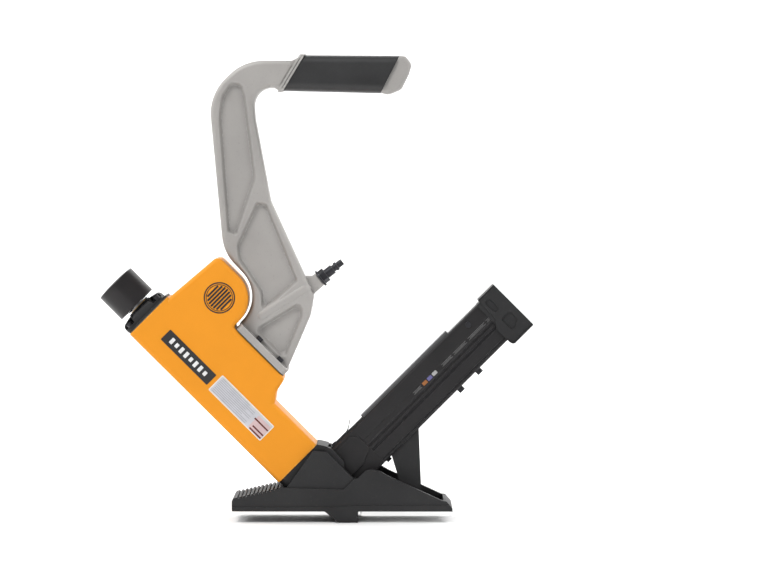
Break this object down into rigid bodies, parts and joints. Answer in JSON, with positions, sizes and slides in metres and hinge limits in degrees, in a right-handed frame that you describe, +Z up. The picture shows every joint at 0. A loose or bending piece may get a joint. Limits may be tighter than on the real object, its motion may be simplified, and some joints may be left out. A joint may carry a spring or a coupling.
{
  "type": "flooring nailer",
  "caption": "Mallet-struck pneumatic flooring nailer: slanted barrel with strike cap, arched handle with rubber grip, long feed magazine and a ridged shoe with a stop lip.",
  "frame": {"origin": "centre of the base plate's underside, the face that rests on top of the floorboard", "axes": "+Z up from the floorboard, +X along the tool from the foot to the free end of the base plate, +Y to the left when looking along +X; the drive axis and the magazine lie in the XZ plane at 45 degrees"},
  "size_m": [0.4775, 0.076, 0.514],
  "materials": {
    "orange_coat": "semi-gloss orange enamel on a light-alloy casting",
    "grey_casting": "bare bead-blasted die casting",
    "black_coat": "satin black coated die casting",
    "magazine_black": "satin black anodised extrusion",
    "striker_black": "black urethane",
    "plate_white": "white acetal",
    "bare_steel": "ground steel",
    "dark_steel": "black oxide steel",
    "spring_steel": "drawn spring wire",
    "bronze": "sintered bearing bronze",
    "rubber_black": "moulded black rubber",
    "seal_rubber": "nitrile seal",
    "valve_plastic": "natural acetal",
    "gasket_fibre": "gasket sheet"
  },
  "bodies": {
    "frame": {"ram_bushing": "bronze", "ram_o_ring": "seal_rubber", "ram_return_spring": "spring_steel", "frame_cap": "black_coat", "cap_gasket": "gasket_fibre", "cap_screws": "dark_steel", "head_valve_spring": "spring_steel", "body_housing": "orange_coat", "cylinder_sleeve": "grey_casting", "sleeve_o_ring": "seal_rubber", "bumper": "rubber_black", "nose_block": "black_coat", "nose_screws": "dark_steel", "driver_guide": "dark_steel", "base_shoe": "black_coat", "base_screws": "dark_steel", "base_plate": "plate_white", "base_plate_screws": "bare_steel", "handle_casting": "grey_casting", "handle_gasket": "gasket_fibre", "handle_bolts": "dark_steel", "grip_sleeve": "rubber_black", "inlet_bushing": "dark_steel", "air_plug": "dark_steel", "inlet_screen": "bronze", "magazine_housing": "magazine_black", "magazine_covers": "magazine_black", "magazine_rail": "bare_steel", "rail_screws": "dark_steel", "magazine_rivet": "dark_steel", "track_strip": "bare_steel", "strip_screws": "dark_steel", "retaining_spring": "dark_steel", "leaf_spring_screw": "dark_steel", "pusher_spring": "spring_steel", "end_block": "black_coat", "end_block_screws": "dark_steel", "magazine_strut": "black_coat", "strut_screws": "dark_steel"},
    "striker": {"strike_cap": "striker_black", "ram": "bare_steel"},
    "driver": {"piston": "grey_casting", "piston_o_ring": "seal_rubber", "driver_blade": "bare_steel"},
    "valve": {"head_valve": "valve_plastic", "head_valve_o_rings": "seal_rubber"},
    "feeder": {"pusher": "bare_steel", "pusher_knob": "striker_black"}
  },
  "joints": [
    {"name": "striker_slide", "type": "slide", "parent": "frame", "child": "striker", "axis": [0.7071, 0, -0.7071], "range_m": [0, 0.004], "stiffness_N_per_m": 1200, "springref_m": -0.008, "deforming": ["ram_return_spring"]},
    {"name": "driver_stroke", "type": "slide", "parent": "frame", "child": "driver", "axis": [0.7071, 0, -0.7071], "range_m": [0, 0.1]},
    {"name": "valve_lift", "type": "slide", "parent": "frame", "child": "valve", "axis": [-0.7071, 0, 0.7071], "range_m": [0, 0.004], "stiffness_N_per_m": 1500, "springref_m": -0.006, "deforming": ["head_valve_spring"]},
    {"name": "pusher_slide", "type": "slide", "parent": "frame", "child": "feeder", "axis": [0.7071, 0, 0.7071], "range_m": [0, 0.178], "stiffness_N_per_m": 40, "springref_m": -0.12, "deforming": ["pusher_spring"]}
  ]
}
